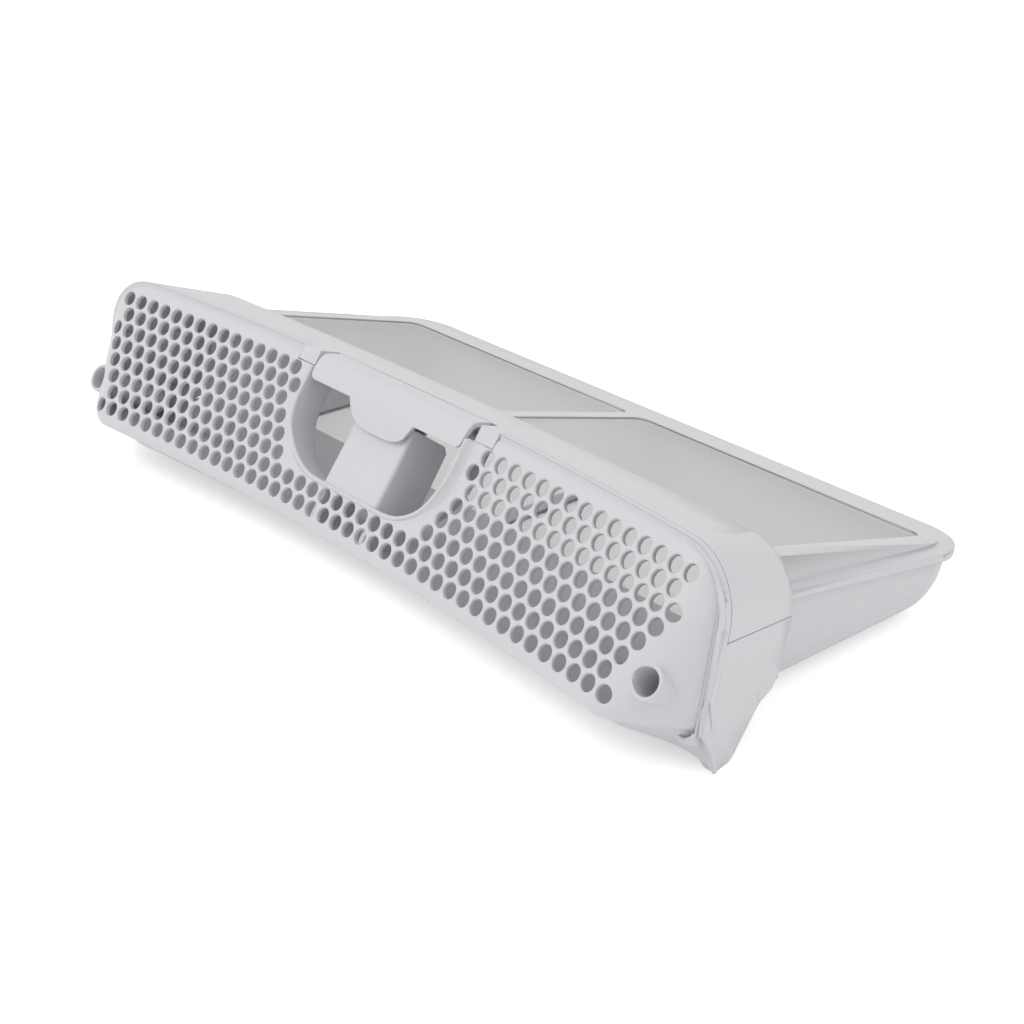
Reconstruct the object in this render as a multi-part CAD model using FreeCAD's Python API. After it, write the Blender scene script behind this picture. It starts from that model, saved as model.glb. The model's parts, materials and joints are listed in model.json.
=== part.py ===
# Tumble dryer lint filter: a wedge-shaped case that air enters through a perforated front.
# A front grille with a finger recess and a grip bar closes the case. The case is split in
# an upper frame, hinged at the nose, and a lower shell, and both carry fine mesh panels.
# Everything is drawn in the case's own frame, X across, Y to the rear and Z up, with the
# middle of the grille's rim at y = 0, and is then tilted onto the surface it rests on.
import FreeCAD
import Part
import math
import os

V = FreeCAD.Vector

# Hood, the wide band right behind the grille
half_width = 188.0
side_taper = 0.155
rim_top = 76.4
top_taper = 0.15
top_crown = 2.2
hood_corner = 24.0
hood_rear_y = 29.0
bow_radius = 1181.0
bow_strip = 24.0
wall = 2.4
split_z = 47.5
moving_gap = 0.3

# Lower outline of the hood with a foot at each end
foot_z = -1.5
foot_rear_y = 3.0
foot_width = 4.0
foot_bend = 10.0
foot_bend_z = 3.4
foot_flare = 20.0
foot_flare_z = 5.2
sill_half = 110.0
sill_z = 8.0
rim_bend_z = 28.0
shoulder_z = 21.5
shoulder_y = 25.0
shoulder_step = 7.0

# Body behind the hood
rest_tilt = 9.2
floor_y = 6.4
deck_half_width = 165.0
deck_front_z = 62.6
deck_slope = 0.1
deck_nose_y = 147.5
deck_corner = 19.0
flange_half_width = 171.5
flange_nose_y = 154.0
flange_height = 3.4
flange_corner = 24.0
hull_half_width = 169.5
hull_nose_y = 149.0
hull_chine = 21.0
hull_nose_round = 26.0
hull_front_y = -12.0

# Perforated face and the pillow that carries it
face_lean = 24.8
face_top_y = -4.5
face_top_z = 67.1
face_thickness = 2.2
pitch = 8.0
hole_radius = 3.15
hole_sides = 8
hole_rows = 8
holes_each_side = 24
hole_edge = 1.6
hole_reach = 6.0
pillow_half_width = 184.5
pillow_end_draft = 42.0
pillow_round = 7.0
outer_cuts = 3
inner_cuts = 1
pillow_front_y = -48.0
pillow_rear_y = 6.0
rim_depth = 3.6
rim_wall = 3.2
rim_step = 1.0
plate_thickness = 2.2

# Finger recess, grip bar and web, measured down the face from the top row of holes
recess_half_width = 46.5
recess_depth = 37.0
recess_corner = 31.0
collar_wall = 2.8
collar_height = 4.6
collar_depth = 11.0
collar_level_end = 18.0
bar_half_width = 15.4
bar_setback = 9.8
bar_top = 1.6
bar_flare = 5.0
bar_flare_end = 14.0
web_wall = 2.2
web_depth = 28.0
web_bottom = 53.0
web_floor = 12.5
catch_down = 13.5
catch_height = 2.4
catch_in = 19.8

# Screw bosses, their posts in the shell and the screws
boss_x = 172.0
boss_down = 37.8
boss_radius = 6.4
boss_bore = 4.9
boss_setback = 4.3
boss_depth = 23.0
boss_seat = 2.5
screw_radius = 1.9
screw_head_radius = 3.6
screw_head_height = 2.4
screw_length = 14.0
screw_fit = 0.05
post_radius = 5.6
post_length = 16.0

# Latch flap between the two tabs of the upper frame
notch_half_width = 60.4
notch_down = -3.0
tab_inner = 49.9
flap_half_width = 49.5
flap_lower_half = 43.0
flap_thickness = 2.2
flap_proud = 1.2
flap_lip = 1.6
flap_lip_setback = 2.6
flap_roof = 6.5
roof_gap = 1.0
tongue_half_width = 16.0
tongue_end = 11.5
tongue_gap = 0.6
tongue_lift = 1.6
tongue_belly = 0.8
pivot_down = -6.0
pivot_in = 5.7
pivot_radius = 1.25
pivot_boss = 2.8
pivot_length = 7.5
pivot_x0 = 38.0
pivot_x1 = 57.0
flap_lug_end = 42.5
running_fit = 0.05
hook_half_width = 7.0
hook_top = -1.0
hook_in = 16.0
hook_down = 18.0
hook_wall = 1.6
hook_barb = 1.6

# Hinge at the nose
hinge_y = 152.8
hinge_z = 43.6
hinge_x = 104.0
hinge_radius = 3.1
hinge_pin_radius = 1.2
barrel_length = 14.0
knuckle_length = 7.0
knuckle_gap = 0.3

# Mesh panels and their windows
mesh_thickness = 0.6
mesh_lap = 2.5
mesh_set = 0.7
window_margin = 9.0
centre_rib = 7.0
upper_window_front = 38.0
lower_window_front = 62.0
lower_window_rear = 124.0
window_corner = 6.0

lean = math.radians(face_lean)
end_spread = math.tan(math.radians(pillow_end_draft))
row_step = pitch * math.sqrt(3.0) / 2.0
row_down = V(0, -math.sin(lean), -math.cos(lean))
face_normal = V(0, -math.cos(lean), math.sin(lean))
face_top = V(0, face_top_y, face_top_z)
floor_slope = math.tan(math.radians(rest_tilt))
far = 260.0


def rounded_wire(points, radii=None, crown=0.0):
    """Closed wire through the points with rounded corners; crown lifts the first run."""
    count = len(points)
    radii = radii or [0.0] * count
    arcs = []
    starts = []
    ends = []
    for k in range(count):
        here = points[k]
        if radii[k] <= 0:
            arcs.append(None)
            starts.append(here)
            ends.append(here)
            continue
        back = (points[k - 1] - here).normalize()
        onward = (points[(k + 1) % count] - here).normalize()
        half = back.getAngle(onward) / 2.0
        centre = here + (back + onward).normalize() * (radii[k] / math.sin(half))
        middle = centre + (here - centre).normalize() * radii[k]
        starts.append(here + back * (radii[k] / math.tan(half)))
        ends.append(here + onward * (radii[k] / math.tan(half)))
        arcs.append(Part.Arc(starts[k], middle, ends[k]).toShape())
    edges = []
    for k in range(count):
        if arcs[k] is not None:
            edges.append(arcs[k])
        onward = starts[(k + 1) % count]
        if k == 0 and crown:
            middle = (ends[k] + onward) * 0.5 + V(0, 0, crown)
            edges.append(Part.Arc(ends[k], middle, onward).toShape())
        elif (onward - ends[k]).Length > 1e-6:
            edges.append(Part.makeLine(ends[k], onward))
    return Part.Wire(edges)


def prism(points, direction, radii=None):
    """Solid extruded from a closed outline with rounded corners."""
    return Part.Face(rounded_wire(points, radii)).extrude(direction)


def block(x0, x1, y0, y1, z0, z1):
    """Box between two opposite corners."""
    return Part.makeBox(x1 - x0, y1 - y0, z1 - z0, V(x0, y0, z0))


def mirrored(shape):
    """Copy on the other side of the middle plane."""
    return shape.mirror(V(0, 0, 0), V(1, 0, 0))


def both(shape):
    """A shape together with its mirror image."""
    return Part.makeCompound([shape, mirrored(shape)])


def on_face(x, down, out):
    """Point in the face's own directions, leaving the bow aside."""
    return face_top + V(x, 0, 0) + row_down * down + face_normal * out


def bow(x):
    """How far the face comes forward of its middle at x."""
    return bow_radius - math.sqrt(bow_radius ** 2 - x ** 2)


def bowed(point, along):
    """Everything in front of a bowed surface of narrow flat strips that runs in one direction."""
    count = math.ceil(1.1 * half_width / bow_strip)
    start = point - along * far
    places = [k * bow_strip for k in range(-count, count + 1)]
    outline = [start + V(x, -bow(x), 0) for x in places]
    outline += [start + V(places[-1], -far, 0), start + V(places[0], -far, 0)]
    return prism(outline, along * (2 * far))


def ahead(out):
    """Everything in front of the perforated face moved out along its normal."""
    return bowed(on_face(0, 0, out), row_down)


def before_rim(back):
    """Everything in front of the rim's bowed edge moved back."""
    return bowed(V(0, back, 0), V(0, 0, 1))


def beyond(point, normal):
    """Everything on the outer side of a plane."""
    slab = Part.makeBox(2 * far, 2 * far, far, V(-far, -far, 0))
    slab.Placement = FreeCAD.Placement(point, FreeCAD.Rotation(V(0, 0, 1), normal))
    return slab


def hood_wire(y, inset):
    """Outline of the hood seen from the front: rounded top corners and two feet."""
    w = half_width - side_taper * (y + bow(half_width)) - inset
    t = rim_top - top_taper * (y + bow(half_width)) - inset
    low = [(w, foot_z), (w - foot_width, foot_z), (w - foot_bend, foot_bend_z),
           (w - foot_flare, foot_flare_z), (sill_half, sill_z)]
    points = [V(-w, y, t), V(w, y, t)]
    points += [V(x, y, z + inset) for x, z in low]
    points += [V(-x, y, z + inset) for x, z in reversed(low)]
    corner = hood_corner - inset
    return rounded_wire(points, [corner, corner] + [0] * (2 * len(low)), top_crown)


def hood(inset, rear):
    """Tapered block of the hood, drawn inset from its outside and closed at its rear."""
    front_y = -1.5 * hood_corner
    block_shape = Part.makeLoft([hood_wire(front_y, inset), hood_wire(rear, inset)], True, True)
    step_y = shoulder_y - shoulder_step
    points = [
        V(-far, rear + far, shoulder_z + far), V(-far, rear + 0.1, shoulder_z + far),
        V(-far, rear, split_z), V(-far, rear - 1.5, shoulder_z + 6.0),
        V(-far, shoulder_y, shoulder_z - inset), V(-far, step_y, shoulder_z - 3.5),
        V(-far, foot_rear_y + 4.0, foot_z + 3.0), V(-far, foot_rear_y, foot_z - inset),
        V(-far, foot_rear_y, -far), V(-far, rear + far, -far),
    ]
    points = [p - V(0, inset, 0) if 3 <= k <= 8 else p for k, p in enumerate(points)]
    radii = [0, 0, 0, 3.0, 2.0, 6.0, 12.0, 2.0, 0, 0]
    block_shape = block_shape.cut(prism(points, V(2 * far, 0, 0), radii))
    sweep = [
        V(-far, -bow(half_width), rim_bend_z), V(-far, -bow(half_width) - far, rim_bend_z),
        V(-far, -bow(half_width) - far, foot_z - 1.0), V(-far, foot_rear_y - 6.0, foot_z - 1.0),
    ]
    return block_shape.cut(prism(sweep, V(2 * far, 0, 0)))


def floor_at(y):
    """Height of the resting surface under the case."""
    return floor_slope * (y - floor_y)


def hull(inset):
    """Rounded tub of the lower shell up to the split, drawn inset from its outside."""
    w = hull_half_width - inset
    nose = hull_nose_y - inset
    lift = inset / math.cos(math.radians(rest_tilt))
    bend_y = floor_y + sill_z / floor_slope
    points = [
        V(-w, hull_front_y, split_z), V(-w, hull_front_y, sill_z + inset),
        V(-w, bend_y, sill_z + inset), V(-w, nose, floor_at(nose) + lift),
        V(-w, nose, split_z),
    ]
    radii = [0, 0, 60.0, hull_nose_round - inset, 0]
    tub = prism(points, V(2 * w, 0, 0), radii)
    edges = []
    for edge in tub.Edges:
        middle = edge.valueAt((edge.FirstParameter + edge.LastParameter) / 2.0)
        along_side = abs(abs(middle.x) - w) < 1e-6
        on_top = abs(middle.z - split_z) < 1e-6
        on_front = abs(middle.y - hull_front_y) < 1e-6
        if along_side and not on_top and not on_front:
            edges.append(edge)
    return tub.makeFillet(hull_chine - inset, edges)


def plan_prism(half, nose, corner, z0, z1, front):
    """Upright prism with rounded corners at the nose."""
    points = [V(-half, front, z0), V(half, front, z0), V(half, nose, z0), V(-half, nose, z0)]
    return prism(points, V(0, 0, z1 - z0), [0, 0, corner, corner])


def deck_at(y):
    """Height of the deck's upper side."""
    return deck_front_z - deck_slope * (y - hood_rear_y)


def deck(inset, bottom):
    """Raised body of the upper frame under its sloping top."""
    half = deck_half_width - inset
    nose = deck_nose_y - inset
    upright = plan_prism(half, nose, deck_corner - inset, bottom, rim_top, 10.0)
    points = [
        V(-far, 0, deck_at(0) - inset), V(-far, 2 * far, deck_at(2 * far) - inset),
        V(-far, 2 * far, 4 * far), V(-far, 0, 4 * far),
    ]
    return upright.cut(prism(points, V(2 * far, 0, 0)))


def between(first, second, share):
    """Unit direction part of the way from one direction to another."""
    angle = first.getAngle(second)
    mix = first * math.sin((1 - share) * angle) + second * math.sin(share * angle)
    return mix.normalize()


def rounding(point, first, second, radius, inset, cuts):
    """Planes that round the edge at a point between two faces, given by their normals."""
    half = first.getAngle(second) / 2.0
    centre = point - (first + second).normalize() * (radius / math.cos(half))
    normals = [between(first, second, (k + 1) / (cuts + 1)) for k in range(cuts)]
    return [(centre + normal * (radius - inset), normal) for normal in normals]


def ridge_point(z):
    """Point at a height where the bowed face meets the slanting end, found by repeated correction."""
    front_y = face_top_y - (face_top_z - z) * math.tan(lean)
    x = pillow_half_width
    for step in range(8):
        x = pillow_half_width + end_spread * (front_y - bow(x) + bow(half_width))
    return V(x, front_y - bow(x), z)


def pillow(inset, cuts):
    """Wedge that lifts the perforated face out of the rim, with soft edges."""
    side_y = -bow(half_width)
    wide = pillow_half_width - inset
    narrow = wide + end_spread * (pillow_front_y - side_y)
    low = sill_z + inset
    high = rim_top - 0.5 * rim_wall
    points = [
        V(-wide, pillow_rear_y, low), V(wide, pillow_rear_y, low), V(wide, side_y, low),
        V(narrow, pillow_front_y, low), V(-narrow, pillow_front_y, low), V(-wide, side_y, low),
    ]
    wedge = prism(points, V(0, 0, high - low)).cut(ahead(-inset))
    corner = hood_corner - 0.5 * rim_wall - inset
    outline = [V(-wide, -far, low - 1.0), V(wide, -far, low - 1.0), V(wide, -far, high), V(-wide, -far, high)]
    wedge = wedge.common(prism(outline, V(0, 2 * far, 0), [0, 0, corner, corner]))
    down = V(0, 0, -1)
    bottom = on_face(0, (face_top_z - sill_z) / math.cos(lean), 0)
    for point, normal in rounding(bottom, face_normal, down, pillow_round, inset, cuts):
        wedge = wedge.cut(bowed(point, normal.cross(V(1, 0, 0))))
    ridge = ridge_point(0.5 * (face_top_z + sill_z))
    slant = math.asin(ridge.x / bow_radius)
    face = row_down.cross(V(1, -math.tan(slant), 0)).normalize()
    end = V(1, -end_spread, 0).normalize()
    planes = rounding(ridge, face, end, pillow_round, inset, cuts)
    planes += rounding(V(pillow_half_width, side_y, sill_z), end, down, pillow_round, inset, cuts)
    for point, normal in planes:
        wedge = wedge.cut(both(beyond(point, normal)))
    return wedge


def near_recess(x, down):
    """Whether a hole would touch the collar of the recess."""
    reach = collar_wall + hole_radius + 0.5
    side = abs(x) - (recess_half_width - recess_corner)
    below = down - (recess_depth - recess_corner)
    if side > 0 and below > 0:
        return math.hypot(side, below) < recess_corner + reach
    return abs(x) < recess_half_width + reach and down < recess_depth + reach


def near_boss(x, down):
    """Whether a hole would touch a screw boss."""
    return math.hypot(abs(x) - boss_x, down - boss_down) < boss_radius + hole_radius + 0.4


def hole_centres():
    """Places of the face's holes as x and down pairs, clear of recess, tabs and bosses."""
    margin = hole_radius + 0.55 * pillow_round + hole_edge
    centres = []
    for row in range(hole_rows):
        down = row * row_step
        for column in range(-holes_each_side, holes_each_side + 1):
            x = (column + 0.5 * ((row + 1) % 2)) * pitch
            past_side = on_face(0, down, 0).y - bow(x) + bow(half_width)
            if abs(x) + margin > pillow_half_width + end_spread * past_side:
                continue
            if near_recess(x, down) or near_boss(x, down):
                continue
            centres.append((x, down))
    return centres


def face_holes():
    """Cutting bars for all the holes, square to the middle of the face."""
    bars = []
    for x, down in hole_centres():
        corners = []
        for k in range(hole_sides):
            turn = 2 * math.pi * (k + 0.5) / hole_sides
            across = x + hole_radius * math.cos(turn)
            start = on_face(across, down + hole_radius * math.sin(turn), -hole_reach)
            corners.append(start - V(0, bow(x), 0))
        bars.append(prism(corners, face_normal * (2 * hole_reach)))
    return Part.makeCompound(bars)


def recess_outline(grow, top):
    """Outline of the finger recess as x and down pairs, grown outwards."""
    half = recess_half_width + grow
    return [(-half, top), (half, top), (half, recess_depth + grow), (-half, recess_depth + grow)]


def recess_column(grow, top, inner, outer):
    """Straight column with the recess's outline between two depths."""
    points = [on_face(x, down, inner) for x, down in recess_outline(grow, top)]
    corner = recess_corner + grow
    return prism(points, face_normal * (outer - inner), [0, 0, corner, corner])


def recess_collar():
    """Wall around the recess, proud at its sides and flush at its bottom."""
    ring = recess_column(collar_wall, notch_down, -collar_depth, 2 * collar_height)
    ring = ring.cut(recess_column(0.0, notch_down - 1.0, -far, far))
    low = recess_depth + collar_wall
    above = [
        on_face(-far, notch_down - 1.0, collar_height), on_face(-far, collar_level_end, collar_height),
        on_face(-far, low, 0.3), on_face(-far, low + 1.0, 0.3),
        on_face(-far, low + 1.0, far), on_face(-far, notch_down - 1.0, far),
    ]
    return ring.cut(prism(above, V(2 * far, 0, 0), [0, 20.0, 0, 0, 0, 0]))


def side_view(points, half, radii=None):
    """Solid extruded across from an outline of down and out pairs."""
    return prism([on_face(-half, down, out) for down, out in points], V(2 * half, 0, 0), radii)


def bar_front(down):
    """How far the front of the grip bar stands out of the face; it is negative inside the recess."""
    share = (down - bar_top) / (bar_flare_end - bar_top)
    return -bar_flare - (bar_setback - bar_flare) * share


def grip_bar():
    """Hollow post in the recess: a front plate that flares to the flap, and two deep sides."""
    low = recess_depth + 0.5 * collar_wall
    front = [
        (bar_top, -bar_flare), (bar_flare_end, -bar_setback), (low, -bar_setback),
        (low, -bar_setback - web_wall), (bar_flare_end, -bar_setback - web_wall),
        (bar_top, -bar_flare - web_wall),
    ]
    plate = side_view(front, bar_half_width, [0, 14.0, 0, 0, 14.0, 0])
    flank = [
        (bar_top, -bar_flare - 1.0), (bar_flare_end, -bar_setback - 1.0), (low, -bar_setback - 1.0),
        (low, -face_thickness + 0.5), (web_bottom, -face_thickness + 0.5), (web_bottom, -web_depth),
        (bar_top, -web_depth),
    ]
    web = side_view(flank, bar_half_width, [0, 14.0, 0, 0, 0, 0, 3.0])
    web = web.cut(side_view(grown(flank, 40.0), bar_half_width - web_wall))
    web = web.cut(block(-far, far, -far, far, -far, web_floor))
    catch = [
        (catch_down - catch_height, -catch_in), (catch_down, -catch_in),
        (catch_down, -web_depth), (catch_down - web_wall, -web_depth),
        (catch_down - web_wall, -catch_in - web_wall), (catch_down - catch_height, -catch_in - web_wall),
    ]
    return plate.fuse(web).fuse(side_view(catch, bar_half_width - 0.5))


def grown(points, reach):
    """The outline's bounding rectangle made larger on every side."""
    downs = [p[0] for p in points]
    outs = [p[1] for p in points]
    d0, d1 = min(downs) - reach, max(downs) + reach
    o0, o1 = min(outs) - reach, max(outs) + reach
    return [(d0, o0), (d1, o0), (d1, o1), (d0, o1)]


def boss_point(out):
    """Point on the axis of the right-hand screw boss, measured from the face."""
    return on_face(boss_x, boss_down, out) - V(0, bow(boss_x), 0)


def boss_rod(radius, outer, inner):
    """Round bar along the boss axis between two depths."""
    return Part.makeCylinder(radius, outer - inner, boss_point(inner), face_normal)


def front_grille():
    """Perforated front with its rim, recess collar, grip bar, web and screw bosses."""
    plate_back = rim_step + plate_thickness
    inside = hood(rim_wall, hood_rear_y)
    rim = hood(0.0, hood_rear_y).common(before_rim(rim_depth)).cut(before_rim(0.0))
    rim = rim.cut(inside.common(before_rim(rim_step)))
    rim = rim.cut(inside.cut(before_rim(plate_back)))
    body = rim.fuse(pillow(0.0, outer_cuts).common(before_rim(plate_back)))
    body = body.cut(pillow(face_thickness, inner_cuts))
    body = body.fuse(both(boss_rod(boss_radius, -boss_setback, -boss_depth)))
    body = body.cut(both(boss_rod(boss_bore, far, boss_seat - boss_depth)))
    body = body.cut(both(boss_rod(screw_radius + screw_fit, far, -far)))
    body = body.cut(recess_column(0.5 * collar_wall, -far, -far, far))
    notch = [(-far, -far), (notch_down, -far), (notch_down, far), (-far, far)]
    body = body.cut(side_view(notch, notch_half_width + moving_gap))
    body = body.fuse(recess_collar()).fuse(grip_bar())
    return body.cut(face_holes()).removeSplitter()


def window(x0, x1, y0, y1, grow, z0, z1):
    """Upright prism of a mesh window, grown by the lap of its mesh."""
    points = [
        V(x0 - grow, y0 - grow, z0), V(x1 + grow, y0 - grow, z0),
        V(x1 + grow, y1 + grow, z0), V(x0 - grow, y1 + grow, z0),
    ]
    return prism(points, V(0, 0, z1 - z0), [window_corner + grow] * 4)


def upper_window(grow):
    """Right-hand window of the upper frame's top."""
    return window(0.5 * centre_rib, deck_half_width - window_margin, upper_window_front,
                  deck_nose_y - window_margin, grow, split_z + 1.0, rim_top)


def lower_window(grow):
    """Right-hand window of the lower shell's floor."""
    return window(0.5 * centre_rib, hull_half_width - hull_chine - mesh_lap - 1.0,
                  lower_window_front, lower_window_rear, grow, foot_z - 10.0, split_z - 2.0)


def slab_between(low_at, high_at):
    """Sloping slab across the case between two heights given along Y."""
    points = [V(-far, -far, low_at(-far)), V(-far, far, low_at(far)),
              V(-far, far, high_at(far)), V(-far, -far, high_at(-far))]
    return prism(points, V(2 * far, 0, 0))


def upper_mesh():
    """Right-hand mesh panel of the upper frame, held in its edge."""
    return upper_window(mesh_lap).common(
        slab_between(lambda y: deck_at(y) - mesh_set - mesh_thickness, lambda y: deck_at(y) - mesh_set))


def lower_mesh():
    """Right-hand mesh panel of the lower shell, held in its edge."""
    return lower_window(mesh_lap).common(
        slab_between(lambda y: floor_at(y) + mesh_set, lambda y: floor_at(y) + mesh_set + mesh_thickness))


def below_floor():
    """Everything under the resting surface."""
    return slab_between(lambda y: floor_at(y) - far, floor_at)


def hinge_rod(radius, x0, x1):
    """Round bar on the nose hinge's axis."""
    return Part.makeCylinder(radius, x1 - x0, V(x0, hinge_y, hinge_z), V(1, 0, 0))


def hinge_spans():
    """Ends along X of the right-hand barrel and of the two knuckles beside it."""
    half = 0.5 * barrel_length
    inner = half + knuckle_gap
    return ((hinge_x - half, hinge_x + half),
            (hinge_x - inner - knuckle_length, hinge_x - inner),
            (hinge_x + inner, hinge_x + inner + knuckle_length))


def hinge_pin():
    """Right-hand hinge pin through the barrel and both knuckles."""
    barrel, left, right = hinge_spans()
    return hinge_rod(hinge_pin_radius, left[0], right[1])


def lower_shell():
    """Tub with the lower end walls and feet, screw posts, windows and hinge knuckles."""
    outer = hood(0.0, hood_rear_y).fuse(hull(0.0))
    body = outer.cut(hood(wall, hood_rear_y - wall)).cut(hull(wall))
    body = body.cut(before_rim(rim_depth))
    body = body.cut(block(-far, far, -far, far, split_z - 0.5 * moving_gap, far))
    body = body.cut(both(lower_window(0.0))).cut(both(lower_mesh()))
    post = boss_rod(post_radius, -boss_depth, -boss_depth - post_length)
    rib = block(boss_x, half_width, boss_point(-boss_depth).y + 4.0, boss_point(-boss_depth - post_length).y,
                boss_point(-boss_depth - post_length).z - 1.0, boss_point(-boss_depth).z - 1.0)
    post = post.fuse(rib.common(hood(0.5 * wall, hood_rear_y)))
    post = post.cut(boss_rod(screw_radius, far, -boss_depth - post_length + 1.5))
    body = body.fuse(both(post))
    for x0, x1 in hinge_spans()[1:]:
        web = block(x0, x1, hull_nose_y - 0.5 * wall, hinge_y, hinge_z - hinge_radius,
                    hinge_z + 0.5 * hinge_radius)
        knuckle = hinge_rod(hinge_radius, x0, x1).fuse(web)
        body = body.fuse(both(knuckle))
    return body.cut(both(hinge_pin())).cut(below_floor()).removeSplitter()


def pivot_rod(radius, x0, x1):
    """Round bar on the latch flap's axis."""
    middle = on_face(0, pivot_down, -pivot_in)
    return Part.makeCylinder(radius, x1 - x0, V(x0, middle.y, middle.z), V(1, 0, 0))


def latch_pin():
    """Right-hand pivot pin of the flap."""
    return pivot_rod(pivot_radius, pivot_x0, pivot_x1)


def upper_frame():
    """Hood band, deck with two windows, flange, flap tabs and hinge barrels."""
    outer = hood(0.0, hood_rear_y).cut(before_rim(rim_depth + moving_gap))
    tab_top = hood(0.0, hood_rear_y).common(before_rim(rim_depth + moving_gap))
    tab_top = tab_top.common(block(tab_inner, notch_half_width, -far, far, 0, far)).cut(ahead(0.0))
    outer = outer.fuse(both(tab_top)).fuse(deck(0.0, split_z))
    outer = outer.fuse(plan_prism(flange_half_width, flange_nose_y, flange_corner, split_z,
                                  split_z + flange_height, 10.0))
    body = outer.cut(hood(wall, hood_rear_y - wall).cut(ahead(-face_thickness)))
    body = body.cut(deck(wall, foot_z))
    body = body.cut(block(-far, far, -far, far, -far, split_z + 0.5 * moving_gap))
    below_tab = [(notch_down - moving_gap, -20.0), (notch_down - moving_gap, 20.0), (far, 20.0), (far, -20.0)]
    front = block(-notch_half_width, notch_half_width, -far, rim_depth + moving_gap - bow(notch_half_width), 0, far)
    body = body.cut(side_view(below_tab, notch_half_width).common(front))
    body = body.cut(block(-tab_inner, tab_inner, -far, flap_roof + roof_gap, split_z, far))
    middle = on_face(0, pivot_down, -pivot_in)
    ear = pivot_rod(pivot_boss, tab_inner + 0.3, tab_inner + pivot_length)
    ear = ear.fuse(block(tab_inner + 0.3, tab_inner + pivot_length, middle.y - pivot_boss,
                         middle.y + pivot_boss, middle.z, rim_top - 0.5 * wall - 1.0))
    body = body.fuse(both(ear)).cut(both(pivot_rod(pivot_radius, pivot_x0, pivot_x1)))
    body = body.cut(both(upper_window(0.0))).cut(both(upper_mesh()))
    x0, x1 = hinge_spans()[0]
    web = block(x0, x1, hinge_y - 0.6 * hinge_radius, hinge_y + 0.6 * hinge_radius, hinge_z,
                split_z + 0.5 * flange_height)
    barrel = hinge_rod(hinge_radius, x0, x1).fuse(web)
    body = body.fuse(both(barrel)).cut(both(hinge_rod(hinge_pin_radius + running_fit, x0 - 1.0, x1 + 1.0)))
    return body.removeSplitter()


def latch_flap():
    """Visor over the recess with a thumb tongue, pivot lugs and a hook behind."""
    t = flap_thickness
    wide = flap_half_width
    roof_top = rim_top - top_taper * flap_roof
    brow_y = -1.5
    visor = [
        V(-wide, flap_roof, roof_top), V(-wide, brow_y, rim_top), on_face(-wide, -4.5, flap_proud),
        on_face(-wide, flap_lip, -flap_lip_setback), on_face(-wide, flap_lip, -flap_lip_setback - t),
        on_face(-wide, -4.5, flap_proud - t), V(-wide, brow_y + t, rim_top - t),
        V(-wide, flap_roof, roof_top - t),
    ]
    body = prism(visor, V(2 * wide, 0, 0), [0, 3.6, 8.0, 0.8, 0.8, 6.0, 1.4, 0])
    low = on_face(0, flap_lip, 0).z
    side = [
        V(wide - 1.0, -far, rim_top - 3.0), V(flap_lower_half, -far, low),
        V(flap_lower_half, -far, low - 9.0), V(far, -far, low - 9.0), V(far, -far, rim_top - 3.0),
    ]
    body = body.cut(both(prism(side, V(0, 2 * far, 0), [0, 3.0, 0, 0, 0])))
    root = flap_lip - 2.0
    middle = 0.5 * (flap_lip + tongue_end)
    tongue = [
        (root, -flap_lip_setback + 0.7), (middle, bar_front(middle) + tongue_lift + tongue_belly),
        (tongue_end, bar_front(tongue_end) + tongue_lift), (tongue_end, bar_front(tongue_end) + tongue_gap),
        (middle, bar_front(middle) + tongue_gap + tongue_belly), (root, bar_front(root) + tongue_gap),
    ]
    lip = side_view(tongue, tongue_half_width, [0, 14.0, 0.6, 0.3, 12.0, 0])
    reach = tongue_end - flap_lip
    outline = [(-tongue_half_width, -10.0), (tongue_half_width, -10.0),
               (tongue_half_width, tongue_end), (-tongue_half_width, tongue_end)]
    column = prism([on_face(x, down, -far) for x, down in outline], face_normal * (2 * far),
                   [0, 0, 0.9 * reach, 0.9 * reach])
    body = body.fuse(lip.common(column))
    lug = pivot_rod(pivot_boss, pivot_x0 - 1.5, flap_lug_end)
    middle = on_face(0, pivot_down, -pivot_in)
    lug = lug.fuse(block(pivot_x0 - 1.5, flap_lug_end, middle.y - pivot_boss, middle.y + 1.0, middle.z,
                         rim_top - 0.6 * t))
    body = body.fuse(both(lug))
    back = hook_in + hook_wall
    arm = [
        (hook_top - hook_wall, -1.5), (hook_top, -1.5), (hook_top, -hook_in), (hook_down, -hook_in),
        (hook_down, -back - hook_barb), (hook_down - 2.0, -back - hook_barb),
        (hook_down - 2.0 - hook_barb, -back), (hook_top - hook_wall, -back),
    ]
    body = body.fuse(side_view(arm, hook_half_width, [0, 0, 1.0, 0.4, 0.4, 0, 0, 2.0]))
    body = body.cut(both(pivot_rod(pivot_radius + running_fit, pivot_x0 - 0.3, far)))
    return body.removeSplitter()


def grille_screw():
    """Right-hand screw that holds the grille on its post."""
    seat = boss_seat - boss_depth
    head = boss_rod(screw_head_radius, seat + screw_head_height, seat)
    shank = boss_rod(screw_radius, seat, seat - screw_length)
    drive = boss_rod(1.2, seat + far, seat + 0.9)
    return head.fuse(shank).cut(drive)


def nodes():
    """Every piece in the case's own frame, by its name."""
    pieces = {
        "front_grille": front_grille(),
        "lower_shell": lower_shell(),
        "upper_frame": upper_frame(),
        "latch_flap": latch_flap(),
    }
    pairs = {
        "upper_mesh": upper_mesh(),
        "lower_mesh": lower_mesh(),
        "latch_pin": latch_pin(),
        "hinge_pin": hinge_pin(),
        "grille_screw": grille_screw(),
    }
    for name, shape in pairs.items():
        pieces[name + "_right"] = shape
        pieces[name + "_left"] = mirrored(shape)
    return pieces


def settled(shape):
    """Copy tilted onto the surface that the case rests on."""
    copy = shape.copy()
    copy.rotate(V(0, floor_y, 0), V(1, 0, 0), -rest_tilt)
    return copy


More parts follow.
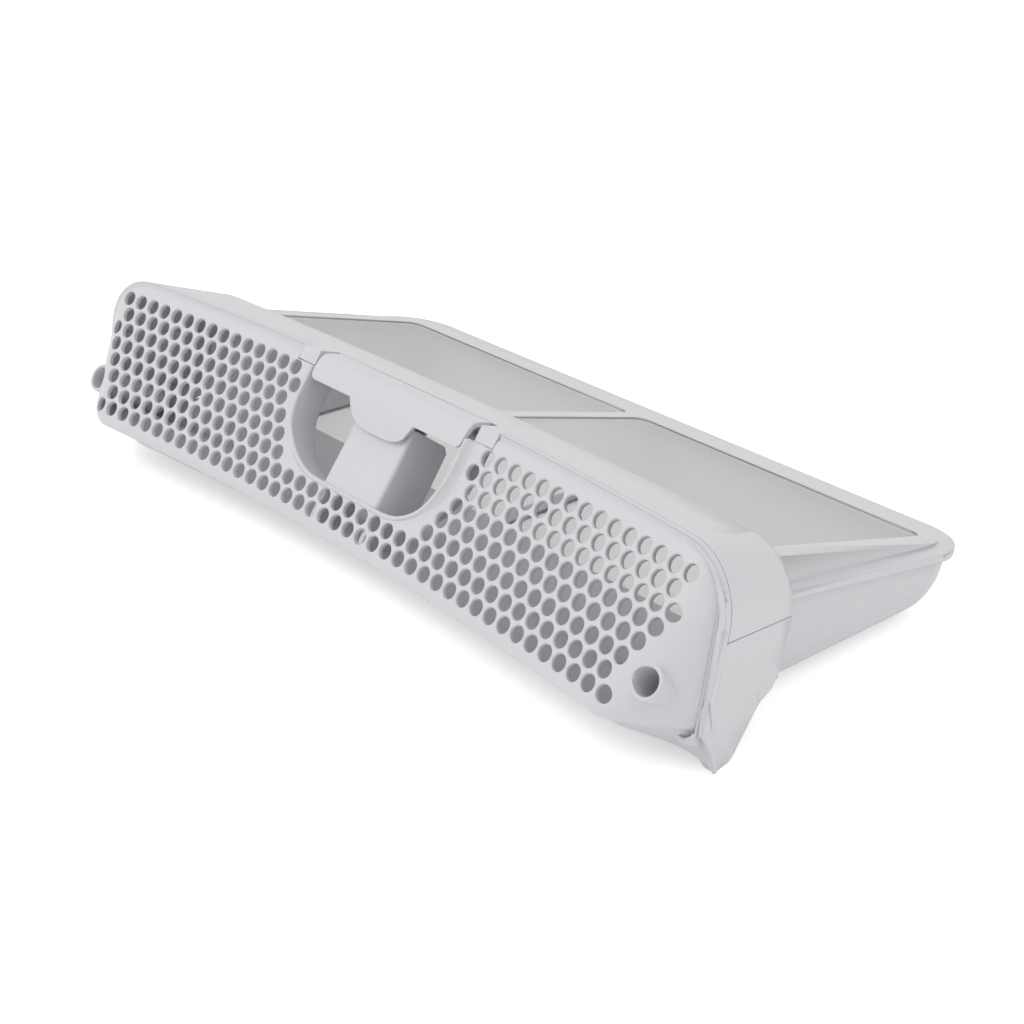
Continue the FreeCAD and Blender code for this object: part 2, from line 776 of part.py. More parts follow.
def main():
    """Build every node, centre the whole on the origin and write it out."""
    os.makedirs("parts", exist_ok=True)
    pieces = {name: settled(shape) for name, shape in nodes().items()}
    whole = FreeCAD.BoundBox()
    for shape in pieces.values():
        whole.add(shape.optimalBoundingBox(True, False))
    shift = V(0, -whole.Center.y, -whole.ZMin)
    for name, shape in pieces.items():
        shape.translate(shift)
        shape.exportStep("parts/" + name + ".step")
        box = shape.optimalBoundingBox(True, False)
        print(name, "valid", shape.isValid(), "solids", len(shape.Solids), "volume", round(shape.Volume),
              "z", round(box.ZMin, 3), round(box.ZMax, 2), "y", round(box.YMin, 2), round(box.YMax, 2))
    print("whole", [round(v, 2) for v in (whole.XLength, whole.YLength, whole.ZLength)],
          "shift", [round(v, 3) for v in shift])
    pivot = on_face(0, pivot_down, -pivot_in)
    flat = 0.5 * (floor_y + sill_z / floor_slope + hull_nose_y - hull_nose_round)
    places = {
        "lid hinge": V(0, hinge_y, hinge_z),
        "flap pivot": V(0, pivot.y, pivot.z),
        "resting face": V(0, flat, floor_at(flat)),
        "hood shoulder": V(0, hood_rear_y, rim_top - 8.0),
        "left foot": V(half_width - foot_width, floor_y, 0),
    }
    for name, place in places.items():
        point = Part.Vertex(place)
        point.rotate(V(0, floor_y, 0), V(1, 0, 0), -rest_tilt)
        print(name, [round(v, 3) for v in point.Point + shift])


main()
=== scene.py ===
# Looks of a tumble dryer lint filter: matt white mouldings with a perforated front,
# round holes with eased rims, and four panels of fine woven filter mesh.
# The front's wedge, collar, grip bar and flange, and the flap, are drawn here in place of the
# plainer forms of the frame's solids.
import json
import math

import bmesh
import bpy
from mathutils import Matrix, Vector

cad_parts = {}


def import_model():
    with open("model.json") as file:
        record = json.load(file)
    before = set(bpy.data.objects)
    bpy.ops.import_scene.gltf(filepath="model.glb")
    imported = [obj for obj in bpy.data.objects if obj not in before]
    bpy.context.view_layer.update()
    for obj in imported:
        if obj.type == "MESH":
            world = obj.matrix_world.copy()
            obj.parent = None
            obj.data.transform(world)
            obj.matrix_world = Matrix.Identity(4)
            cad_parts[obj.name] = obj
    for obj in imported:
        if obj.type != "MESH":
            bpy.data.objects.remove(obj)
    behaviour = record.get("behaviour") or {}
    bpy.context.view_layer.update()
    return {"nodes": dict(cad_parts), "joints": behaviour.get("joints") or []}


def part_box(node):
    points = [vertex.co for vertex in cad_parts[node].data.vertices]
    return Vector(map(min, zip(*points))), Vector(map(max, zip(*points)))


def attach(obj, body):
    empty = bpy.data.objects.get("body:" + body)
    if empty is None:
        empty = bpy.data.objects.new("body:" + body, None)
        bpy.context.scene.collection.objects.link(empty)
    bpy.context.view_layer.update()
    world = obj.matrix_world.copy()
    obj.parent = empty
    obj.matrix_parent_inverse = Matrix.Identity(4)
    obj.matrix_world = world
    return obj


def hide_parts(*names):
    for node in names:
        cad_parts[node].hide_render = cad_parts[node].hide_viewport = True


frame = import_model()

MM = 0.001


def in_metres(points):
    """Outline whose pairs are given in millimetres."""
    return [(a * MM, b * MM) for a, b in points]


# Perforated face, as the frame holds it: it leans back and its ends come forward
REST_TILT = math.radians(9.2)
LEAN = math.radians(24.8)
PIVOT_DOWN = -6.0 * MM
PIVOT_IN = 5.7 * MM
FACE_TOP_Y = -4.5 * MM
FACE_HEIGHT = 67.1 * MM
BOW_RADIUS = 1181.0 * MM
HALF_WIDTH = 188.0 * MM
WEDGE_HALF_WIDTH = 184.5 * MM
END_SPREAD = math.tan(math.radians(42.0))

# The wedge that carries the face, drawn in the case's own frame
SILL_HEIGHT = 13.0 * MM
WEDGE_TOP = 74.8 * MM
WEDGE_CORNER = 22.4 * MM
PLATE_BACK = 3.2 * MM
SKIN = 2.2 * MM
BOTTOM_ROUND = 8.0 * MM
END_ROUND = 8.0 * MM
TOP_ROUND = 3.0 * MM

# Places of the wedge's sections along the width: wide steps, then narrow ones to its end
WIDE_STEP = 10.0 * MM
NARROW_START = 150.0 * MM
NARROW_STEP = 2.0 * MM
NARROW_COUNT = 17
SKIN_ENDS = [183.2 * MM, 184.0 * MM, 184.45 * MM]
SECTION_HEIGHT = 40.0 * MM
SECTION_REACH = 120.0 * MM
SECTION_STEPS = 72
SECTION_HALVINGS = 34

# Opening of the rim for the wedge
RIM_BLOCK_COUNT = 21
RIM_CUT = 0.1 * MM
RIM_INSET = 1.0 * MM
RIM_INSET_TOP = 0.9 * MM
CORNER_STEPS = 12

# Flange under the wedge, which turns back and runs down into the feet
FLANGE = 2.0 * MM
FLANGE_STEP = 3.0 * MM
FLANGE_COUNT = 62
FLANGE_ENDS = [184.4 * MM, 185.6 * MM, 187.2 * MM]
FLANGE_LEVEL_END = 160.0 * MM
FLANGE_LOW = 5.2 * MM
FLANGE_FALL = 2.2
FOOT_HEIGHT = -1.4 * MM
RIM_BEND_HEIGHT = 28.0 * MM
FLANGE_INSIDE = 1.5 * MM
FLANGE_COVER = 0.6 * MM
FLANGE_CAP = 0.4 * MM
FLANGE_LIP = 0.2 * MM
FLANGE_HOLLOW = (2.0 * MM, 1.0 * MM)
FLANGE_CURVE_STEPS = 8
EDGE_AHEAD = 9.0 * MM
EDGE_BEHIND = 9.8 * MM
EDGE_TURN = 150.0 * MM
EDGE_REACH = -80.0 * MM
EDGE_HALVINGS = 24

# Holes of the face, clear of the finger recess and the screw bosses
PITCH = 8.0 * MM
ROW_STEP = PITCH * math.sqrt(3.0) / 2.0
HOLE_ROWS = 8
HOLES_EACH_SIDE = 24
HOLE_RADIUS = 3.15 * MM
HOLE_EDGE = 1.35 * MM
HOLE_SEGMENTS = 28
HOLE_GROWTH = 0.02 * MM
HOLE_EASE = 0.4 * MM
HOLE_FLARE = 2.2 * HOLE_EASE
HOLE_REACH = 9.0 * MM

# Finger recess, and the notch above it for the flap and its tabs
RECESS_HALF_WIDTH = 47.5 * MM
RECESS_DEPTH = 36.3 * MM
RECESS_CORNER = 27.0 * MM
RECESS_SIDE_STEPS = 9
RECESS_CORNER_STEPS = 16
RECESS_FLOOR_STEPS = 8
NOTCH_DOWN = -3.0 * MM
NOTCH_HALF_WIDTH = 60.7 * MM
NOTCH_REACH = 60.0 * MM
COLUMN_ABOVE = 8.0 * MM
COLUMN_OUT = (-60.0 * MM, 40.0 * MM)

# Collar round the recess: a wall with a round lip and a sloping flank
COLLAR_WALL = 1.8 * MM
COLLAR_FLANK = 2.2 * MM
COLLAR_HIGH = 3.4 * MM
COLLAR_LOW = 0.5 * MM
COLLAR_DEPTH = 11.0 * MM
COLLAR_LEVEL_END = 16.0 * MM
COLLAR_CLEAR = 0.9 * MM
FLANK_BEND = 0.35
FLANK_OVERLAP = 0.2 * MM
FLANK_SINK = 0.5 * MM
LIP_STEPS = 6

# Grip bar with its box; outlines are pairs of down along the face and out of it
BAR_HALF_WIDTH = 16.6 * MM
BAR_ROUND = 1.6 * MM
BAR_ROUND_STEPS = 6
BAR_FRONT = in_metres([(3.0, -1.4), (9.0, -1.3), (14.0, -1.3), (23.0, -1.0), (31.0, -0.6), (37.4, -0.5)])
BAR_FRONT_STEPS = 5
WEB_WALL = 2.2 * MM
WEB_DEPTH = 22.5 * MM
WEB_BOTTOM = 53.0 * MM
BOX_OUTLINE = [(40.0 * MM, -2.0 * MM), (WEB_BOTTOM, -2.0 * MM), (WEB_BOTTOM, -0.6 * WEB_DEPTH),
               (44.0 * MM, -WEB_DEPTH), (6.0 * MM, -WEB_DEPTH), (3.6 * MM, -WEB_DEPTH + 2.5 * MM)]
HOLLOW_OUTLINE = in_metres([(-5.0, -4.6), (38.6, -3.0), (38.6, 5.0),
                            (60.0, 5.0), (60.0, -60.0), (-5.0, -60.0)])
CATCH_TOP = 11.1 * MM
CATCH_BOTTOM = 13.5 * MM
CATCH_FRONT = -19.8 * MM

# Latch flap: visor with a lobe over the grip bar, lugs on the two pins and a hook
FLAP_HALF_WIDTH = 46.6 * MM
FLAP_SKIN = 2.0 * MM
FLAP_EDGE = 0.6 * FLAP_SKIN
FLAP_PROUD = 3.4 * MM
FLAP_LIP = 2.0 * MM
FLAP_CORNER = 3.0 * MM
LOBE_HALF_WIDTH = 18.5 * MM
LOBE_END = 11.4 * MM
LOBE_SQUARENESS = 3.2
LOBE_FULLNESS = 0.45
VISOR_ROOF = in_metres([(-12.1, -6.4), (-11.0, -3.0), (-10.0, -0.2), (-8.4, 1.9)])
VISOR_CROWN = [(-5.6 * MM, FLAP_PROUD - 0.4 * MM), (-2.0 * MM, FLAP_PROUD), (FLAP_LIP, FLAP_PROUD - 0.1 * MM)]
VISOR_LOBE = in_metres([(6.0, 2.5), (9.0, 1.4)]) + [(LOBE_END, 0.9 * MM)]
VISOR_STEPS = 8
VISOR_ACROSS = 64
VISOR_ALONG = 40
LUG_RADIUS = 2.8 * MM
LUG_START = 36.5 * MM
LUG_END = 42.5 * MM
LUG_BASE = in_metres([(-8.8, 0.6), (-3.2, 1.8)])
LUG_STEPS = 16
HOOK_HALF_WIDTH = 7.0 * MM
HOOK_OUTLINE = in_metres([(-2.6, 2.0), (-1.0, 2.0), (-1.0, -16.0), (18.0, -16.0),
                          (18.0, -19.2), (16.0, -19.2), (14.4, -17.6), (-2.6, -17.6)])

# Inner ledge of the lower shell's end walls; its outline is in pairs of y and z of the case
LEDGE_START = 167.0 * MM
LEDGE_END = 181.0 * MM
LEDGE_OUTLINE = in_metres([(25.0, 21.3), (18.0, 17.8), (7.0, 1.4), (4.4, 3.2),
                           (15.6, 20.2), (24.0, 24.4), (27.5, 27.6), (28.0, 25.0)])

# Screw bosses
BOSS_X = 172.0 * MM
BOSS_DOWN = 37.8 * MM
BOSS_RADIUS = 6.4 * MM
BOSS_BORE = 4.9 * MM
BOSS_DEPTH = 23.0 * MM
BOSS_SEAT = 2.5 * MM
BOSS_SETBACK = 3.8 * MM
BOSS_CLEAR = 0.2 * MM
BOSS_SEGMENTS = 40
BOSS_OPENING = 20.0 * MM
SCREW_HOLE = 1.95 * MM

# Filter cloth
THREAD_PITCH = 0.55 * MM
CLOTH_COVER = 0.52
CLOTH_THICKNESS = 0.6 * MM
CLOTH_FRONT_INSET = 0.1 * CLOTH_THICKNESS
CLOTH_REAR_INSET = 0.9 * CLOTH_THICKNESS
CLOTH_SAG = 0.25 * MM
CLOTH_CELLS = 24

# Where the photograph was taken from
CAMERA_PLACE = Vector((512.3, -452.9, 333.8)) * MM
CAMERA_AZIMUTH = math.radians(47.926)
CAMERA_ELEVATION = math.radians(25.531)
CAMERA_ROLL = math.radians(1.236)
FOCAL_PIXELS = 1800.0
PHOTO_PIXELS = 1024.0
SENSOR_WIDTH = 36.0

# Colours, in linear light
WHITE_PLASTIC = (0.690, 0.690, 0.715)
WHITE_PLASTIC_SHADE = (0.665, 0.667, 0.690)
FILTER_CLOTH = (0.86, 0.87, 0.865)
# Gaps between the cloth's threads: painted shade, darker than the threads themselves
FILTER_CLOTH_PAINTED_GAP_SHADE = (0.78, 0.79, 0.78)
STEEL = (0.50, 0.51, 0.53)
BACKDROP = (0.96, 0.96, 0.96)

# Light
WORLD_LIGHT = 0.74
FLOOR_SIZE = 30.0
FLOOR_GLOW = 0.42
LAMP_SIZE = 1.6
LAMP_TARGET = Vector((0, 0, 0.03))
KEY_PLACE = Vector((-0.9, -1.5, 1.7))
KEY_POWER = 13.0
FILL_PLACE = Vector((1.0, 0.6, 1.9))
FILL_POWER = 6.0

# Shading of the meshes
SHARP_ANGLE = math.radians(32)
FACE_WEIGHT = 100

# Distance under which two corners are one, and the smallest length that counts
JOIN_DISTANCE = 0.002 * MM
TINY = 1e-12

# Sockets of the Mix node when it mixes colours, and the range that most noise lies in
MIX_FACTOR, MIX_LOW, MIX_HIGH, MIX_RESULT = 0, 6, 7, 2
NOISE_LOW = 0.3
NOISE_HIGH = 0.7


def rest_direction(y, z):
    """Direction in the case's own frame turned into the rest frame."""
    return Vector((0.0, y * math.cos(REST_TILT) + z * math.sin(REST_TILT),
                   -y * math.sin(REST_TILT) + z * math.cos(REST_TILT)))


ROW_DOWN = rest_direction(-math.sin(LEAN), -math.cos(LEAN))
FACE_NORMAL = rest_direction(-math.cos(LEAN), math.sin(LEAN))
CASE_REAR = rest_direction(1.0, 0.0)
PIVOT = next(Vector(j["pos_m"]) for j in frame["joints"] if j["name"] == "latch_pivot")
FACE_TOP = PIVOT - ROW_DOWN * PIVOT_DOWN + FACE_NORMAL * PIVOT_IN


def bow(x):
    """How far the face comes forward of its middle at x."""
    return BOW_RADIUS - math.sqrt(BOW_RADIUS ** 2 - x ** 2)


def case_point(x, y, z):
    """Point of the case's own frame, where the rim's middle is at y = 0, in the rest frame."""
    return FACE_TOP + Vector((x, 0, 0)) + rest_direction(y - FACE_TOP_Y, z - FACE_HEIGHT)


def flat_point(x, down, out):
    """Point given by its place on the face at its middle, without the bow, and its height out of it."""
    return FACE_TOP + Vector((x, 0, 0)) + ROW_DOWN * down + FACE_NORMAL * out


def face_point(x, down, out):
    """Point given by its place on the bowed face and its height out of it."""
    return flat_point(x, down, out) - CASE_REAR * bow(x)


def share_of(value, first, last):
    """Where a value lies between two others, from 0 to 1."""
    return min(max((value - first) / (last - first), 0.0), 1.0)


def eased(value, first, last):
    """Smooth step from 0 at the first value to 1 at the last."""
    share = share_of(value, first, last)
    return share * share * (3.0 - 2.0 * share)


def last_inside(inside, near, far, halvings):
    """Furthest value from near towards far at which the test holds, by halving the span."""
    for step in range(halvings):
        middle = 0.5 * (near + far)
        if inside(middle):
            near = middle
        else:
            far = middle
    return near


def mirrored(places):
    """Places from 0 outwards, with the same ones on the other side before them."""
    return [-x for x in reversed(places[1:])] + places


def arc(a, b, radius, first, last, steps):
    """Points on an arc about the pair a and b, from one angle to another."""
    turns = [first + (last - first) * k / steps for k in range(steps + 1)]
    return [(a + radius * math.cos(turn), b + radius * math.sin(turn)) for turn in turns]


def bent(start, middle, end, t):
    """Point at share t of a curve that leaves its start towards the middle point."""
    a, b, c = (1.0 - t) ** 2, 2.0 * t * (1.0 - t), t * t
    return tuple(a * p + b * q + c * r for p, q, r in zip(start, middle, end))


def curve_through(points, steps):
    """Smooth curve through pairs of numbers; its slope at each follows from the pairs on either side."""
    padded = [points[0]] + points + [points[-1]]
    made = []
    for k in range(len(points) - 1):
        a, b, c, d = padded[k:k + 4]
        for n in range(steps):
            t = n / steps
            made.append(tuple(
                0.5 * (2 * b[i] + (c[i] - a[i]) * t + (2 * a[i] - 5 * b[i] + 4 * c[i] - d[i]) * t ** 2
                       + (3 * b[i] - a[i] - 3 * c[i] + d[i]) * t ** 3) for i in range(2)))
    made.append(points[-1])
    return made


def link(name, mesh):
    """New object with that mesh in the scene."""
    piece = bpy.data.objects.new(name, mesh)
    bpy.context.scene.collection.objects.link(piece)
    return piece


def finished_mesh(bm, name):
    """Mesh from a bmesh, which is then freed."""
    mesh = bpy.data.meshes.new(name)
    bm.to_mesh(mesh)
    bm.free()
    return mesh


def bridge(bm, low, high):
    """Faces between two equal rings of corners."""
    for k in range(len(low)):
        n = (k + 1) % len(low)
        bm.faces.new((low[k], low[n], high[n], high[k]))


def rings_mesh(name, rings, ends="caps"):
    """Closed mesh through equal rings of points; its ends are capped, joined or, for a skin, strips."""
    bm = bmesh.new()
    made = [[bm.verts.new(point) for point in ring] for ring in rings]
    pairs = list(zip(made, made[1:]))
    if ends == "joined":
        pairs.append((made[-1], made[0]))
    for low, high in pairs:
        bridge(bm, low, high)
    if ends == "caps":
        bm.faces.new(list(reversed(made[0])))
        bm.faces.new(made[-1])
    if ends == "skin":
        half = len(made[0]) // 2
        for ring in (made[0], made[-1]):
            bm.faces.new(ring[:half])
            bm.faces.new(ring[half:])
            bm.faces.new((ring[0], ring[half - 1], ring[half], ring[-1]))
    bmesh.ops.recalc_face_normals(bm, faces=bm.faces)
    return finished_mesh(bm, name)


def prism(first, last, outline, place):
    """Straight prism between two x values, of an outline whose pairs a function places."""
    return rings_mesh("prism", [[place(x, a, b) for a, b in outline] for x in (first, last)])


def plain_piece(node):
    """Piece with a node's own form, its doubled corners joined."""
    name = node + "_finish"
    bm = bmesh.new()
    bm.from_mesh(frame["nodes"][node].data)
    bmesh.ops.remove_doubles(bm, verts=bm.verts, dist=JOIN_DISTANCE)
    return link(name, finished_mesh(bm, name))


def apply_modifiers(piece):
    """Give the piece the mesh that its modifiers make."""
    graph = bpy.context.evaluated_depsgraph_get()
    made = bpy.data.meshes.new_from_object(piece.evaluated_get(graph))
    piece.modifiers.clear()
    piece.data = made


def combine(piece, mesh, operation):
    """Add a closed mesh to the piece or take it away."""
    tool = link("tool", mesh)
    step = piece.modifiers.new("step", "BOOLEAN")
    step.operation = operation
    step.object = tool
    step.solver = "MANIFOLD"
    apply_modifiers(piece)
    bpy.data.objects.remove(tool)


def smooth(piece):
    """Smooth shading across every edge but the sharp ones, led by the large flat faces."""
    piece.data.shade_smooth()
    piece.data.set_sharp_from_angle(angle=SHARP_ANGLE)
    weighted = piece.modifiers.new("weighted", "WEIGHTED_NORMAL")
    weighted.keep_sharp = True
    weighted.weight = FACE_WEIGHT
    apply_modifiers(piece)


def near_recess(x, down):
    """Whether a hole would touch the collar of the recess."""
    reach = COLLAR_WALL + HOLE_RADIUS
    side = abs(x) - (RECESS_HALF_WIDTH - RECESS_CORNER)
    below = down - (RECESS_DEPTH - RECESS_CORNER)
    if side > 0 and below > 0:
        return math.hypot(side, below) < RECESS_CORNER + reach + COLLAR_CLEAR
    return abs(x) < RECESS_HALF_WIDTH + reach and down < RECESS_DEPTH + reach


def near_boss(x, down):
    """Whether a hole would touch a screw boss."""
    return math.hypot(abs(x) - BOSS_X, down - BOSS_DOWN) < BOSS_RADIUS + HOLE_RADIUS + BOSS_CLEAR


def hole_centres():
    """Places of the face's holes as x and down pairs; every second row is shifted by half a pitch."""
    margin = HOLE_RADIUS + HOLE_EDGE
    centres = []
    for row in range(HOLE_ROWS):
        down = row * ROW_STEP
        front_y = FACE_TOP_Y - down * math.sin(LEAN)
        for column in range(-HOLES_EACH_SIDE, HOLES_EACH_SIDE + 1):
            x = (column + 0.5 * ((row + 1) % 2)) * PITCH
            past_side = front_y - bow(x) + bow(HALF_WIDTH)
            if abs(x) + margin > WEDGE_HALF_WIDTH + END_SPREAD * past_side:
                continue
            if near_recess(x, down) or near_boss(x, down):
                continue
            centres.append((x, down))
    return centres


def add_cutter(bm, x, down):
    """One round bar through the face that flares just at the surface."""
    radius = HOLE_RADIUS + HOLE_GROWTH
    profile = [(-HOLE_REACH, radius), (-HOLE_EASE, radius), (0.0, radius + HOLE_EASE),
               (HOLE_EASE, radius + HOLE_FLARE)]
    centre = face_point(x, down, 0.0)
    rings = []
    for depth, r in profile:
        ring = []
        for k in range(HOLE_SEGMENTS):
            turn = 2 * math.pi * k / HOLE_SEGMENTS
            across = r * math.cos(turn)
            lift = (bow(x + across) - bow(x)) * math.cos(LEAN) + depth
            if depth <= -HOLE_REACH:
                lift = depth
            place = centre + Vector((across, 0, 0)) + ROW_DOWN * (r * math.sin(turn)) + FACE_NORMAL * lift
            ring.append(bm.verts.new(place))
        rings.append(ring)
    for low, high in zip(rings, rings[1:]):
        bridge(bm, low, high)
    bm.faces.new(list(reversed(rings[0])))
    bm.faces.new(rings[-1])


def hole_cutters():
    """Mesh of all the round bars that open the face."""
    bm = bmesh.new()
    for x, down in hole_centres():
        add_cutter(bm, x, down)
    bmesh.ops.recalc_face_normals(bm, faces=bm.faces)
    return finished_mesh(bm, "hole_cutters")


def soft_max(a, b, radius):
    """Larger of two distances, with a round transition between their zero surfaces."""
    rounded = math.hypot(max(a + radius, 0.0), max(b + radius, 0.0))
    return min(max(a, b), -radius) + rounded


def wedge_distance(x, y, z):
    """Distance outside the soft-edged wedge that carries the face; it is negative inside."""
    face = -math.cos(LEAN) * (y - FACE_TOP_Y + bow(x)) + math.sin(LEAN) * (z - FACE_HEIGHT)
    end = abs(x) - WEDGE_HALF_WIDTH - END_SPREAD * (y + bow(HALF_WIDTH))
    end /= math.hypot(1.0, END_SPREAD)
    lower = soft_max(face, SILL_HEIGHT - z, BOTTOM_ROUND)
    outline = soft_max(abs(x) - WEDGE_HALF_WIDTH, z - WEDGE_TOP, WEDGE_CORNER)
    return soft_max(soft_max(lower, end, END_ROUND), outline, TOP_ROUND)


def wedge_surface(x, turn, level):
    """Place at a distance outside the wedge, seen in one direction from the middle of its section at x."""

    def place(reach):
        return x, PLATE_BACK - bow(x) + reach * math.cos(turn), SECTION_HEIGHT + reach * math.sin(turn)

    def inside(reach):
        return wedge_distance(*place(reach)) < level

    return place(last_inside(inside, 0.0, SECTION_REACH, SECTION_HALVINGS))


def wedge_section(x, level):
    """Half ring of points round the section of the wedge at x, for a distance outside it."""
    turns = [math.pi * (0.5 + k / SECTION_STEPS) for k in range(SECTION_STEPS + 1)]
    return [case_point(*wedge_surface(x, turn, level)) for turn in turns]


def wedge_skin():
    """Shell of the perforated face, closed at its ends and open to the case."""
    last = SKIN_ENDS[-1]
    places = [k * WIDE_STEP for k in range(round(NARROW_START / WIDE_STEP))]
    places += [NARROW_START + k * NARROW_STEP for k in range(NARROW_COUNT)]
    places += SKIN_ENDS
    rings = []
    for x in mirrored(places):
        outer = wedge_section(x, 0.0)
        inner = wedge_section(x * (last - SKIN) / last, -SKIN)
        rings.append(outer + list(reversed(inner)))
    return rings_mesh("skin", rings, "skin")


def before_rim():
    """Block with everything in front of the bowed edge of the rim."""
    low, high, front = -30.0 * MM, 110.0 * MM, -140.0 * MM
    rings = []
    for x in mirrored([k * WIDE_STEP for k in range(RIM_BLOCK_COUNT)]):
        back = -bow(x) - RIM_CUT
        corners = [(back, low), (back, high), (front, high), (front, low)]
        rings.append([case_point(x, y, z) for y, z in corners])
    return rings_mesh("before_rim", rings)


def inside_rim():
    """Prism of the wedge's outline, for the opening of the rim."""
    front, back = -90.0 * MM, 40.0 * MM
    half = WEDGE_HALF_WIDTH - RIM_INSET
    low = SILL_HEIGHT + RIM_INSET
    high = WEDGE_TOP - RIM_INSET_TOP
    corner = WEDGE_CORNER - RIM_INSET
    outline = [(-half, low), (half, low)]
    outline += arc(half - corner, high - corner, corner, 0.0, 0.5 * math.pi, CORNER_STEPS)
    outline += arc(corner - half, high - corner, corner, 0.5 * math.pi, math.pi, CORNER_STEPS)
    return rings_mesh("inside_rim", [[case_point(x, y, z) for x, z in outline] for y in (front, back)])


def wedge_edge(x, height):
    """Foremost place of the wedge at x, at a height just above its underside."""
    rim = -bow(x)

    def inside(y):
        return wedge_distance(x, y, height) < -FLANGE_COVER

    if not inside(rim):
        return rim
    return last_inside(inside, rim, EDGE_REACH, EDGE_HALVINGS)


def flange():
    """Lower edge of the rim, which runs from under the wedge down into the two feet."""
    rise_start = WEDGE_HALF_WIDTH - 2.0 * BOTTOM_ROUND
    rings = []
    for x in mirrored([k * FLANGE_STEP for k in range(FLANGE_COUNT)] + FLANGE_ENDS):
        fall = share_of(abs(x), FLANGE_LEVEL_END, HALF_WIDTH) ** FLANGE_FALL
        low = FLANGE_LOW - (FLANGE_LOW - FOOT_HEIGHT) * fall
        edge = -bow(x) - EDGE_AHEAD + (EDGE_AHEAD + EDGE_BEHIND) * eased(abs(x), EDGE_TURN, HALF_WIDTH)
        height = SILL_HEIGHT + FLANGE_INSIDE
        height += BOTTOM_ROUND * eased(abs(x), rise_start, WEDGE_HALF_WIDTH)
        top = height + FLANGE_CAP
        if abs(x) > WEDGE_HALF_WIDTH:
            height = SILL_HEIGHT + FLANGE_INSIDE
            top = RIM_BEND_HEIGHT
        start = (wedge_edge(x, height), height)
        end = (edge, low)
        middle = tuple(0.5 * (p + q) + hollow for p, q, hollow in zip(start, end, FLANGE_HOLLOW))
        section = [(FLANGE_LIP - bow(x), top)]
        section += [bent(start, middle, end, n / FLANGE_CURVE_STEPS) for n in range(FLANGE_CURVE_STEPS + 1)]
        section += [(edge + FLANGE, low), (FLANGE - bow(x), top)]
        rings.append([case_point(x, y, z) for y, z in section])
    return rings_mesh("flange", rings)


def recess_path(grow):
    """Points along the recess from its upper left to its upper right, with their outward normals."""
    half, depth, corner = RECESS_HALF_WIDTH, RECESS_DEPTH, RECESS_CORNER
    left = []
    for k in range(RECESS_SIDE_STEPS):
        down = NOTCH_DOWN + (depth - corner - NOTCH_DOWN) * k / RECESS_SIDE_STEPS
        left.append(((-half, down), (-1.0, 0.0)))
    for k in range(RECESS_CORNER_STEPS + 1):
        turn = math.pi + 0.5 * math.pi * k / RECESS_CORNER_STEPS
        normal = (math.cos(turn), -math.sin(turn))
        left.append(((corner - half + corner * normal[0], depth - corner + corner * normal[1]), normal))
    floor = []
    for k in range(1, RECESS_FLOOR_STEPS):
        floor.append((((2 * k / RECESS_FLOOR_STEPS - 1) * (half - corner), depth), (0.0, 1.0)))
    right = [((-x, down), (-nx, nd)) for (x, down), (nx, nd) in reversed(left)]
    return [(x + grow * nx, down + grow * nd, nx, nd) for (x, down), (nx, nd) in left + floor + right]


def recess_column():
    """Column with the recess's outline, to the middle of the collar's wall, right through the face."""
    path = [(x, down) for x, down, nx, nd in recess_path(0.5 * COLLAR_WALL)]
    path[0] = (path[0][0], NOTCH_DOWN - COLUMN_ABOVE)
    path[-1] = (path[-1][0], NOTCH_DOWN - COLUMN_ABOVE)
    return rings_mesh("column", [[flat_point(x, down, out) for x, down in path] for out in COLUMN_OUT])


def collar_height(down):
    """How proud the collar stands: full at the sides, fading towards its lower edge."""
    share = share_of(down, COLLAR_LEVEL_END, RECESS_DEPTH)
    return COLLAR_LOW + (COLLAR_HIGH - COLLAR_LOW) * 0.5 * (1 + math.cos(math.pi * share))


def recess_collar():
    """Wall around the recess with a rounded lip and a sloping flank."""
    radius = 0.5 * COLLAR_WALL
    rings = []
    for x, down, nx, nd in recess_path(0.0):
        lip = collar_height(down)
        flank = COLLAR_FLANK * (lip - COLLAR_LOW) / (COLLAR_HIGH - COLLAR_LOW)
        section = [(0.0, -COLLAR_DEPTH)]
        section += arc(radius, lip - radius, radius, math.pi, 0.0, LIP_STEPS)
        section += [(COLLAR_WALL + FLANK_BEND * flank, FLANK_BEND * lip),
                    (COLLAR_WALL + flank + FLANK_OVERLAP, -FLANK_SINK),
                    (COLLAR_WALL, -SKIN - FLANK_OVERLAP),
                    (COLLAR_WALL, -COLLAR_DEPTH)]
        rings.append([face_point(x + s * nx, down + s * nd, out) for s, out in section])
    return rings_mesh("collar", rings)


def grip_bar():
    """Post of the recess with soft front edges, and the box behind it."""
    front = curve_through(BAR_FRONT, BAR_FRONT_STEPS)
    places = []
    for k in range(BAR_ROUND_STEPS + 1):
        places.append(BAR_HALF_WIDTH - BAR_ROUND * (1 - math.cos(0.5 * math.pi * k / BAR_ROUND_STEPS)))
    rings = []
    for x in sorted([-x for x in places] + places):
        gone = max(abs(x) - (BAR_HALF_WIDTH - BAR_ROUND), 0.0)
        drop = BAR_ROUND - math.sqrt(max(BAR_ROUND ** 2 - gone ** 2, 0.0))
        section = [(down, out - drop) for down, out in front] + BOX_OUTLINE
        rings.append([flat_point(x, down, out) for down, out in section])
    return rings_mesh("bar", rings)


def bar_hollow():
    """Space inside the grip bar's box, open to the rear and, below the recess, to the front."""
    x = BAR_HALF_WIDTH - WEB_WALL
    return prism(-x, x, HOLLOW_OUTLINE, flat_point)


def catch():
    """Ledge across the box that the flap's hook takes hold of."""
    x = BAR_HALF_WIDTH - 0.5 * WEB_WALL
    outline = [(CATCH_TOP, CATCH_FRONT), (CATCH_BOTTOM, CATCH_FRONT), (CATCH_BOTTOM, -WEB_DEPTH),
               (CATCH_TOP, -WEB_DEPTH)]
    return prism(-x, x, outline, flat_point)


